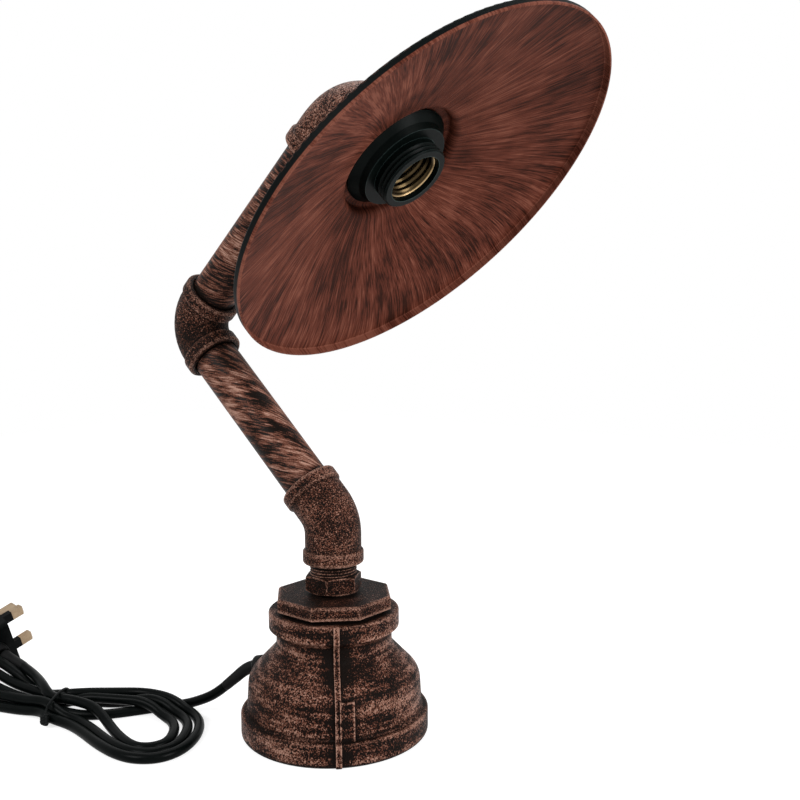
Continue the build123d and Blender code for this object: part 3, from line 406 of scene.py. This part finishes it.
class Finish:
    # A material: what stays the same all over is set on the shader's own sockets.
    def __init__(self, name, constants):
        self.material = bpy.data.materials.new(name)
        self.material.use_nodes = True
        self.tree = self.material.node_tree
        self.tree.nodes.clear()
        self.shader = self.node("ShaderNodeBsdfPrincipled", {}, constants)
        self.node("ShaderNodeOutputMaterial", {}, {"Surface": self.shader.outputs["BSDF"]})
        self.place = self.node("ShaderNodeTexCoord").outputs["Object"]

    def node(self, kind, settings=(), inputs=()):
        return addNode(self.tree, kind, settings, inputs)

    def maths(self, operation, first, second=0.0):
        return Signal(self, self.node("ShaderNodeMath", {"operation": operation}, {0: first, 1: second}).outputs[0])

    def vector(self, operation, first, second=(0, 0, 0)):
        return self.node("ShaderNodeVectorMath", {"operation": operation}, {0: first, 1: second}).outputs["Vector"]

    def measured(self, operation, first, second=(0, 0, 0)):
        made = self.node("ShaderNodeVectorMath", {"operation": operation}, {0: first, 1: second})
        return Signal(self, made.outputs["Value"])

    def along(self, vector, way):
        return self.measured("DOT_PRODUCT", vector, tuple(way))

    def scaled(self, vector, amount):
        return self.node("ShaderNodeVectorMath", {"operation": "SCALE"}, {0: vector, "Scale": amount}).outputs["Vector"]

    def awayFrom(self, centre):
        return self.vector("SUBTRACT", self.place, tuple(centre))

    def axial(self, centre, way):
        # The place as a height along the axis and the vector square to it from the axis.
        away = self.awayFrom(centre)
        height = self.along(away, way)
        return height, self.vector("SUBTRACT", away, self.scaled(tuple(way), height))

    def stretched(self, centre, way, ratio):
        # The place from centre, its part along way multiplied by ratio.
        away = self.awayFrom(centre)
        return self.vector("ADD", away, self.scaled(tuple(way), self.along(away, way) * (ratio - 1)))

    def step(self, value, low, high):
        # 0 below low, 1 above high, eased between.
        inputs = {"Value": value, "From Min": low, "From Max": high}
        return Signal(self, self.node("ShaderNodeMapRange", {"interpolation_type": "SMOOTHSTEP"}, inputs).outputs[0])

    def edge(self, value, place, soft):
        # The same round a place in millimetres, where value is in metres.
        return self.step(value, (place - soft) * mm, (place + soft) * mm)

    def noise(self, vector, size, detail, roughness=0.5, distortion=0.0):
        # Noise whose features are about size millimetres across, where the vector is in metres.
        inputs = {"Vector": vector, "Scale": 1 / (size * mm), "Detail": detail, "Roughness": roughness}
        return Signal(self, self.node("ShaderNodeTexNoise", {}, {**inputs, "Distortion": distortion}).outputs[0])

    def blend(self, first, second, share):
        return self.node("ShaderNodeMix", {"data_type": "RGBA"}, {0: share, 6: first, 7: second}).outputs[2]

    def openness(self, distance, inside):
        # How much of the sky above a point, or of the solid below it, is free of faces within the distance.
        settings = {"inside": inside, "samples": 6, "only_local": inside}
        made = self.node("ShaderNodeAmbientOcclusion", settings, {"Distance": distance * mm})
        return Signal(self, made.outputs["AO"])

    def wire(self, name, value):
        value = value.socket if isinstance(value, Signal) else value
        self.tree.links.new(value, self.shader.inputs[name])

    def bumped(self, height, depth):
        # Raises the surface by depth millimetres where height is 1.
        inputs = {"Strength": 1.0, "Distance": depth * mm, "Height": height}
        self.wire("Normal", self.node("ShaderNodeBump", {}, inputs).outputs[0])


def dress(finish, *names):
    for name in names:
        for slot in nodes[name].material_slots:
            slot.material = finish.material


def rgb(red, green, blue):
    return (red, green, blue, 1.0)


def inMetres(low, high):
    return low * mm, high * mm


# Castings: near-black paint with copper brushed dry over its grain, denser on edges; its palest specks are painted
# glints, and its corners are darkened as painted shade, where the dry brush also misses them.
# cover shifts the copper's share, rim is how strongly an edge draws copper, reach how far in from it.
ribWay = np.array([cos(radians(-50)), sin(radians(-50)), 0.0])  # from the axis to the bell's front rib
castings = {
    "base_reducer": {
        "centre": origin, "way": upWay, "stretch": 1.3, "grain": 0.78,
        "cover": -0.04, "rim": 0.6, "reach": 1.5, "streak": 0.9,
    },
    "octagon_bush": {
        "centre": origin, "way": upWay, "stretch": 1.0, "grain": 0.72,
        "cover": -0.10, "rim": 0.85, "reach": 2.0, "top": 82.6,  # height of its upper face
    },
    "hex_nipple": {
        "centre": origin, "way": upWay, "stretch": 1.0, "grain": 0.72,
        "cover": -0.135, "rim": 0.7, "reach": 1.2,
    },
    "neck_elbow": {
        "centre": neckFace, "way": upWay, "stretch": 1.0, "grain": 0.72,
        "cover": -0.055, "rim": 0.9, "reach": 2.2,
    },
    "middle_elbow": {
        "centre": middleCorner, "way": lowerWay, "stretch": 1.0, "grain": 0.8,
        "cover": -0.095, "rim": 0.9, "reach": 2.0,
    },
    "head_elbow": {
        "centre": headCorner, "way": headWay, "stretch": 1.0, "grain": 0.85,
        "cover": 0.01, "rim": 0.9, "reach": 2.2,
    },
}
castPaint = {
    "shader": {"Specular IOR Level": 0.045},
    "dark": rgb(0.0040, 0.0022, 0.0015),
    "copper": rgb(0.104, 0.034, 0.0195),
    # pale: painted glints on the brightest copper, from paleLevel up
    "pale": rgb(0.315, 0.178, 0.132),
    "level": (0.495, 0.545),  # copper begins and is full
    "paleLevel": (0.555, 0.75),
    "cloud": 15.0,
    "band": 36.0,
    "bandStretch": 7.0,
    "wormGrain": 1.7,  # its size, in grains
    "ridgeShare": 0.28,
    "cloudPull": 0.32,
    # painted shade in corners and creases: how far it reaches, in millimetres, and how much copper it takes away
    "creviceShadeReach": 3.5,
    "creviceShadePull": 0.75,
    "topPull": 0.12,
    "topSoft": 0.2,
    "ribFront": 20.0,  # this far before the axis and beyond, the bare ground is full
    "ribHalf": (1.6, 2.2),  # where the bare ground begins, sideways from the rib's middle
    "bareEnd": (3.0, 11.0),
    "barePull": 0.22,
    "bareCloud": (0.35, 0.6),
    "rough": 0.56,
    "roughGain": -0.2,  # from bare to copper
    "bump": 0.55,
}


def castFinish(name, size):
    # Copper where grain and its ridges + clouds + bands + edges - painted corner shade passes the level.
    finish = Finish(name + "_paint", castPaint["shader"])
    place = finish.stretched(size["centre"], size["way"], 1 / size["stretch"])
    grain = finish.noise(place, size["grain"], 1.0, 0.55, 0.5)
    worm = finish.noise(place, size["grain"] * castPaint["wormGrain"], 1.0, 0.5, 0.8)
    ridge = 1 - finish.maths("ABSOLUTE", worm - 0.5) * 5  # highest where worm crosses its middle
    cloud = finish.noise(place, castPaint["cloud"], 2.0)
    edge = 1 - finish.openness(size["reach"], True)
    # Painted shade: the copper is taken away where faces close round the point, in corners and creases.
    creviceShade = 1 - finish.openness(castPaint["creviceShadeReach"], False)
    relief = grain * (1 - castPaint["ridgeShare"]) + ridge * castPaint["ridgeShare"]
    pull = relief + (cloud - 0.5) * castPaint["cloudPull"] + edge * size["rim"] - creviceShade * castPaint["creviceShadePull"]
    pull = pull + size["cover"]
    if "streak" in size:
        # The casting's ground is left dark at both sides of its front rib, more in some places than in others.
        banded = finish.stretched(size["centre"], size["way"], castPaint["bandStretch"])
        pull = pull + (finish.noise(banded, castPaint["band"], 3.0, 0.65) - 0.5) * size["streak"]
        beside = finish.maths("ABSOLUTE", finish.along(place, np.cross(upWay, ribWay)))
        front = finish.step(finish.along(place, ribWay), 0, castPaint["ribFront"] * mm)
        near = 1 - finish.step(beside, *inMetres(*castPaint["bareEnd"]))
        bare = finish.step(beside, *inMetres(*castPaint["ribHalf"])) * near * front
        pull = pull - bare * finish.step(cloud, *castPaint["bareCloud"]) * castPaint["barePull"]
    if "top" in size:
        height = finish.along(finish.place, upWay)
        upper = finish.step(height, *inMetres(size["top"], size["top"] + castPaint["topSoft"]))
        pull = pull - upper * castPaint["topPull"]
    copper = finish.step(pull, *castPaint["level"])
    # Where the pull is highest the copper turns pale: painted glints.
    tone = finish.blend(castPaint["copper"], castPaint["pale"], finish.step(pull, *castPaint["paleLevel"]))
    finish.wire("Base Color", finish.blend(castPaint["dark"], tone, copper))
    finish.wire("Roughness", castPaint["rough"] + castPaint["roughGain"] * copper)
    finish.bumped(relief, castPaint["bump"])
    return finish


castFinishes = {name: castFinish(name, size) for name, size in castings.items()}
for name, finish in castFinishes.items():
    dress(finish, name)
print("castings finished")

# Pipes: fine dry-brush strokes that wind round the pipe, over darker patches.
pipes = {
    "lower_pipe": {"centre": middleCorner, "way": lowerWay, "wind": -40.0},
    "upper_pipe": {"centre": middleCorner, "way": upperWay, "wind": 70.0},
}
pipePaint = {
    "shader": {"Specular IOR Level": 0.05},
    "dark": rgb(0.0055, 0.0034, 0.0025),
    "brown": rgb(0.105, 0.038, 0.024),
    "pale": rgb(0.350, 0.200, 0.150),
    "level": (0.455, 0.53),
    "paleLevel": (0.52, 0.68),
    "radius": 13.45,
    "grain": 0.7,
    "patchPull": 0.4,
    "edgeReach": 1.2,
    "edgePull": 0.2,
    # painted shade where the pipe runs into its fittings: how far it reaches and how much it darkens
    "creviceShadeReach": 5.0,
    "creviceShadePull": 0.3,
    "rough": 0.38,
    "roughGain": 0.18,  # from dark to brown
    "bump": 0.3,
}


def pipeFinish(name, size):
    # The direction from the axis is turned by height * tan(wind) / radius, so that a stroke keeps its place along
    # a helix; noise is then fine across the strokes and long along them.
    finish = Finish(name + "_paint", pipePaint["shader"])
    lean = radians(size["wind"])
    way = tuple(size["way"])
    height, flat = finish.axial(size["centre"], way)
    angle = height * (-tan(lean) / (pipePaint["radius"] * mm))
    inputs = {"Vector": finish.vector("NORMALIZE", flat), "Axis": way, "Angle": angle}
    turned = finish.node("ShaderNodeVectorRotate", {"rotation_type": "AXIS_ANGLE"}, inputs).outputs["Vector"]

    def strokes(width, run, detail, roughness):
        # width across a stroke and run along it, in millimetres.
        across = finish.scaled(turned, pipePaint["radius"] * cos(lean) / width * mm)
        climb = finish.scaled(way, height * (1 / (run * cos(lean))))
        return finish.noise(finish.vector("ADD", across, climb), 1.0, detail, roughness)

    fine = strokes(0.75, 8.0, 2.0, 0.65)
    coarse = strokes(2.2, 15.0, 2.0, 0.6)
    patch = strokes(8.0, 24.0, 2.0, 0.5)
    grain = finish.noise(finish.place, pipePaint["grain"], 1.0)
    edge = 1 - finish.openness(pipePaint["edgeReach"], True)
    # Painted shade: darker where the pipe meets its fittings.
    creviceShade = 1 - finish.openness(pipePaint["creviceShadeReach"], False)
    pull = fine * 0.5 + coarse * 0.35 + grain * 0.15 + (patch - 0.5) * pipePaint["patchPull"]
    pull = pull + edge * pipePaint["edgePull"] - creviceShade * pipePaint["creviceShadePull"]
    brown = finish.step(pull, *pipePaint["level"])
    tone = finish.blend(pipePaint["brown"], pipePaint["pale"], finish.step(pull, *pipePaint["paleLevel"]))
    finish.wire("Base Color", finish.blend(pipePaint["dark"], tone, brown))
    finish.wire("Roughness", pipePaint["rough"] + pipePaint["roughGain"] * brown)
    finish.bumped(fine * 0.6 + coarse * 0.25 + grain * 0.15, pipePaint["bump"])
    return finish


for name, size in pipes.items():
    dress(pipeFinish(name, size), name)
print("pipes finished")

# Shade: brushed from the hub outwards inside, near-black outside and over the lip.
shade = {
    "shader": {"Specular IOR Level": 0.035},
    "coneRadius": 36.3,
    "coneStart": 48.42,  # middle of the sheet there, along the head's axis
    "coneSlope": 0.2938,
    "hubRadius": 35.8,
    "foldStart": 45.36,
    "foldSlope": 0.45,
    "crown": 42.0,
    "crownRound": 33.7,
    "crownSlope": 0.5,
    "lipRadius": 116.8,
    "lipEdge": 75.2,
    "dark": rgb(0.019, 0.0048, 0.0024),
    "brown": rgb(0.080, 0.0205, 0.0120),
    "pale": rgb(0.165, 0.056, 0.036),
    "brownLevel": (0.38, 0.54),
    "paleLevel": (0.52, 0.68),
    "paleShare": 0.85,
    "cloud": 40.0,
    "cloudPull": 0.46,
    # painted light: the lip's inner wall, in its own shade, is painted lighter
    "hemPaintedLight": (115.4, 116.2),
    "hemPaintedLightPull": 0.11,
    "swirlSize": 150.0,
    "swirl": 0.8,
    "outside": rgb(0.0014, 0.0023, 0.0022),
    "outsideCopper": rgb(0.14, 0.06, 0.042),
    "speck": 1.3,
    "speckCloud": 0.3,
    "speckLevel": (0.80, 0.90),
    "rough": 0.42,
    "roughGain": 0.2,  # from dark to pale
    "bump": 0.12,
}


def shadeFinish():
    # Strokes are noise on (direction from the axis / width, radius / run), swirled a little by slow noise.
    finish = Finish("shade_paint", shade["shader"])
    way = tuple(headWay)
    height, flat = finish.axial(headCorner, way)
    radius = finish.measured("LENGTH", flat)
    spoke = finish.vector("NORMALIZE", flat)
    swirl = (finish.noise(finish.place, shade["swirlSize"], 0.0) - 0.5) * shade["swirl"]
    bent = finish.vector("ADD", spoke, finish.scaled(finish.vector("CROSS_PRODUCT", way, spoke), swirl))

    def brushed(width, run, detail, roughness):
        # width is a stroke's share of a radian, run its length in millimetres.
        across = finish.scaled(bent, mm / width)
        out = finish.scaled(way, radius * (1 / run))
        return finish.noise(finish.vector("ADD", across, out), 1.0, detail, roughness)

    fine = brushed(0.0075, 15.0, 2.0, 0.62)
    broad = brushed(0.040, 38.0, 3.0, 0.6)
    cloud = finish.noise(finish.place, shade["cloud"], 3.0, 0.6)
    # Painted light: the lip's shaded inner wall is lightened.
    hemPaintedLight = finish.step(radius, *inMetres(*shade["hemPaintedLight"]))
    tone = fine * 0.60 + broad * 0.40 + (cloud - 0.5) * shade["cloudPull"] + hemPaintedLight * shade["hemPaintedLightPull"]
    inner = finish.blend(shade["dark"], shade["brown"], finish.step(tone, *shade["brownLevel"]))
    inner = finish.blend(inner, shade["pale"], finish.step(tone, *shade["paleLevel"]) * shade["paleShare"])
    speck = finish.noise(finish.place, shade["speck"], 2.0, 0.6) + cloud * shade["speckCloud"]
    outer = finish.blend(shade["outside"], shade["outsideCopper"], finish.step(speck, *shade["speckLevel"]))
    # The inside is what lies beyond the middle of the cone's sheet: height - slope * radius > its start.
    start = shade["coneStart"] - shade["coneSlope"] * shade["coneRadius"]
    cone = finish.edge(height - radius * shade["coneSlope"], start, 0.2)
    # The neck's own inside is bounded by the middle of its sheet, slanted at its two rounded ends.
    fold = finish.maths("MAXIMUM", height - shade["foldStart"] * mm, 0.0) * shade["foldSlope"]
    below = finish.edge(shade["hubRadius"] * mm + fold - radius, 0, 0.1)
    bend = finish.maths("MAXIMUM", radius - shade["crownRound"] * mm, 0.0) * shade["crownSlope"]
    hub = below * finish.edge(height - bend, shade["crown"], 0.1)
    lip = finish.edge(radius, shade["lipRadius"], 0.2) * (1 - finish.edge(height, shade["lipEdge"], 0.2))
    inside = finish.maths("MAXIMUM", cone, hub) * (1 - lip)
    painted = finish.blend(outer, inner, inside)
    finish.wire("Base Color", finish.blend(painted, shade["outside"], lip))
    finish.wire("Roughness", shade["rough"] + shade["roughGain"] * tone)
    finish.bumped(fine * 0.75 + broad * 0.25, shade["bump"])
    return finish


dress(shadeFinish(), "shade")
print("shade finished")

# Plain pieces: one base colour with slow and fine variation, its own gloss and grain.
plainPieces = {
    "holder_plastic": {
        "nodes": ["holder_skirt", "holder_cap", "shade_ring"],
        "low": (0.0008, 0.0017, 0.0015), "high": (0.0019, 0.0031, 0.0028),
        "rough": 0.34, "vary": 0.12, "grain": 0.5, "depth": 0.012, "shader": {"Specular IOR Level": 0.035},
        # painted highlight: thread crests and edges lightened as if they caught the light
        "edgeHighlight": (0.030, 0.046, 0.044), "edgeHighlightWidth": 0.45,
    },
    "insert_ceramic": {
        "nodes": ["holder_insert"],
        "low": (0.50, 0.47, 0.41), "high": (0.66, 0.63, 0.57),
        "rough": 0.25, "vary": 0.15, "grain": 0.8, "depth": 0.02, "shader": {"Coat Weight": 0.3},
    },
    # Brass is kept near black as painted shade inside the socket; its mouth rim is a lit brass colour, a painted
    # highlight.
    "brass": {
        "nodes": ["screw_shell", "centre_contact", "earth_tag"],
        "low": (0.028, 0.019, 0.009), "high": (0.060, 0.041, 0.020),
        "rough": 0.30, "vary": 0.16, "grain": 0.6, "depth": 0.01, "shader": {"Metallic": 1.0},
        "rim": (0.42, 0.29, 0.15), "rimStart": 57.6,
    },
    "pin_brass": {
        "nodes": ["line_pin", "neutral_pin", "earth_pin"],
        "low": (0.27, 0.195, 0.125), "high": (0.38, 0.285, 0.19),
        "rough": 0.30, "vary": 0.14, "grain": 0.6, "depth": 0.01, "shader": {"Metallic": 1.0},
    },
    "zinc_steel": {
        "nodes": ["earth_screw", "terminal_screws"],
        "low": (0.42, 0.42, 0.41), "high": (0.62, 0.62, 0.60),
        "rough": 0.3, "vary": 0.2, "grain": 0.5, "depth": 0.01, "shader": {"Metallic": 1.0},
    },
    "grommet_rubber": {
        "nodes": ["cable_grommet", "plug_boot"],
        "low": (0.0024, 0.0026, 0.0027), "high": (0.0055, 0.0058, 0.0058),
        "rough": 0.5, "vary": 0.16, "grain": 0.4, "depth": 0.02, "shader": {"Specular IOR Level": 0.08},
    },
    "clamp_plastic": {
        "nodes": ["cord_clamp"],
        "low": (0.45, 0.44, 0.40), "high": (0.60, 0.59, 0.55),
        "rough": 0.4, "vary": 0.15, "grain": 0.6, "depth": 0.02, "shader": {},
    },
    "cord_sheath": {
        "nodes": ["inner_flex_base", "inner_flex_neck", "inner_flex_arm", "inner_flex_head"],
        "low": (0.0010, 0.0016, 0.0015), "high": (0.0022, 0.0030, 0.0029),
        "rough": 0.30, "vary": 0.14, "grain": 0.5, "depth": 0.012, "shader": {"Specular IOR Level": 0.032},
    },
    "tie_plastic": {
        "nodes": [],
        "low": (0.0012, 0.0016, 0.0016), "high": (0.0028, 0.0034, 0.0034),
        "rough": 0.36, "vary": 0.12, "grain": 0.4, "depth": 0.02, "shader": {"Specular IOR Level": 0.05},
    },
    "plug_plastic": {
        "nodes": ["plug_body", "plug_fuse_carrier", "pin_sleeves"],
        "low": (0.0012, 0.0016, 0.0016), "high": (0.0032, 0.0038, 0.0038),
        "rough": 0.44, "vary": 0.14, "grain": 0.35, "depth": 0.03, "shader": {"Specular IOR Level": 0.05},
    },
    "fuse_ceramic": {
        "nodes": ["plug_fuse"],
        "low": (0.62, 0.60, 0.55), "high": (0.75, 0.73, 0.69),
        "rough": 0.35, "vary": 0.15, "grain": 0.5, "depth": 0.01, "shader": {},
    },
    "foot_felt": {
        "nodes": ["foot_pad"],
        "low": (0.010, 0.010, 0.010), "high": (0.028, 0.028, 0.027),
        "rough": 0.9, "vary": 0.08, "grain": 0.7, "depth": 0.25, "shader": {"Specular IOR Level": 0.1},
    },
}
plainPaint = {
    "slow": 9.0,
    "slowShare": 0.7,
    "level": (0.35, 0.65),
    "edgeHighlightLevel": (0.08, 0.4),
    "rimSoft": 0.3,
}


def plainFinish(name, size):
    # Colour and roughness follow slow noise, the bump follows fine noise; convex edges and the shell's mouth rim are
    # paler as painted highlights.
    finish = Finish(name, size["shader"])
    slow = finish.noise(finish.place, plainPaint["slow"], 3.0, 0.6)
    fine = finish.noise(finish.place, size["grain"], 2.0, 0.5)
    mixed = slow * plainPaint["slowShare"] + fine * (1 - plainPaint["slowShare"])
    colour = finish.blend(rgb(*size["low"]), rgb(*size["high"]), finish.step(mixed, *plainPaint["level"]))
    # Painted highlight on convex edges.
    if "edgeHighlight" in size:
        edge = finish.step(1 - finish.openness(size["edgeHighlightWidth"], True), *plainPaint["edgeHighlightLevel"])
        colour = finish.blend(colour, rgb(*size["edgeHighlight"]), edge)
    # Painted highlight: the shell's mouth rim is paler.
    if "rim" in size:
        height = finish.along(finish.awayFrom(headCorner), headWay)
        mouthHighlight = finish.edge(height, size["rimStart"], plainPaint["rimSoft"])
        colour = finish.blend(colour, rgb(*size["rim"]), mouthHighlight)
    finish.wire("Base Color", colour)
    finish.wire("Roughness", size["rough"] + (slow - 0.5) * size["vary"] + (fine - 0.5) * (size["vary"] / 2))
    finish.bumped(fine, size["depth"])
    return finish


plainFinishes = {name: plainFinish(name, size) for name, size in plainPieces.items()}
for name, size in plainPieces.items():
    dress(plainFinishes[name], *size["nodes"])
print("plain pieces finished")


def finishPiece(piece, finish, body):
    piece.data.materials.append(finish.material)
    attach(piece, body)


finishPiece(mainsFlex, plainFinishes["cord_sheath"], "base")
for piece in (exitSleeve, plugSleeve):
    finishPiece(piece, plainFinishes["grommet_rubber"], "base")
for piece in [tieRing] + tieEnds:
    finishPiece(piece, plainFinishes["tie_plastic"], "base")
for piece in boltThreads:
    finishPiece(piece, castFinishes["hex_nipple"], "base")
finishPiece(lampThreadPiece, plainFinishes["brass"], "head")
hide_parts("mains_cord", "cord_hank", "plug_lead")
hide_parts("cord_tie")
print("pieces ride on their bodies")

# The floor, the light and the white surroundings.
studio = {
    "floorSize": 2.4,
    "floorColour": 0.8,  # for the light that the floor throws back
    "floorSeen": 0.45,  # share of the floor's light that the camera sees, which carries the shadow
    "floorGlow": 0.74,
    "worldLight": 0.36,
    "lamps": [
        {"name": "keyLight", "place": (-0.3, -1.1, 1.0), "aim": (0, 0, 0.18), "size": 0.6, "watts": 13.0},
        {"name": "fillLight", "place": (1.2, 0.0, 0.6), "aim": (0, 0, 0.2), "size": 0.6, "watts": 15.0},
        {"name": "topLight", "place": (-0.4, 0.5, 1.4), "aim": (0, 0, 0.2), "size": 0.8, "watts": 8.0},
    ],
}


def seenRays(tree):
    # 1 for rays from the camera and for those that gloss or glass sends on.
    rays = addNode(tree, "ShaderNodeLightPath")
    total = rays.outputs["Is Camera Ray"]
    for name in ("Is Glossy Ray", "Is Transmission Ray"):
        total = addNode(tree, "ShaderNodeMath", {"operation": "MAXIMUM"}, {0: total, 1: rays.outputs[name]}).outputs[0]
    return total


def layFloor():
    # A flat square, white where lit and grey in the shadow.
    half = studio["floorSize"] / 2
    mesh = bpy.data.meshes.new("floor")
    mesh.from_pydata([(-half, -half, 0), (half, -half, 0), (half, half, 0), (-half, half, 0)], [], [(0, 1, 2, 3)])
    material = bpy.data.materials.new("floor_white")
    material.use_nodes = True
    tree = material.node_tree
    tree.nodes.clear()
    lit = addNode(tree, "ShaderNodeBsdfDiffuse", {}, {"Color": rgb(*[studio["floorColour"]] * 3)})
    shown = addNode(tree, "ShaderNodeBsdfDiffuse", {}, {"Color": rgb(*[studio["floorSeen"]] * 3)})
    glow = addNode(tree, "ShaderNodeEmission", {}, {"Strength": studio["floorGlow"]})
    both = addNode(tree, "ShaderNodeAddShader", {}, {0: shown.outputs[0], 1: glow.outputs[0]})
    inputs = {0: seenRays(tree), 1: lit.outputs[0], 2: both.outputs[0]}
    choice = addNode(tree, "ShaderNodeMixShader", {}, inputs)
    addNode(tree, "ShaderNodeOutputMaterial", {}, {"Surface": choice.outputs[0]})
    mesh.materials.append(material)
    return addToScene("floor", mesh)


layFloor()
world = bpy.data.worlds.new("studio")
world.use_nodes = True
worldTree = world.node_tree
worldTree.nodes.clear()
inputs = {"Value": seenRays(worldTree), "To Min": studio["worldLight"], "To Max": 1.0}
strength = addNode(worldTree, "ShaderNodeMapRange", {}, inputs)
inputs = {"Color": rgb(1, 1, 1), "Strength": strength.outputs[0]}
background = addNode(worldTree, "ShaderNodeBackground", {}, inputs)
addNode(worldTree, "ShaderNodeOutputWorld", {}, {"Surface": background.outputs[0]})
bpy.context.scene.world = world

for lamp in studio["lamps"]:
    light = bpy.data.lights.new(lamp["name"], "AREA")
    light.size = lamp["size"]
    light.energy = lamp["watts"]
    made = addToScene(lamp["name"], light)
    made.location = lamp["place"]
    back = np.array(lamp["place"]) - np.array(lamp["aim"])
    made.rotation_euler = (np.arctan2(np.hypot(back[0], back[1]), back[2]), 0, np.arctan2(back[0], -back[1]))
print("studio set")
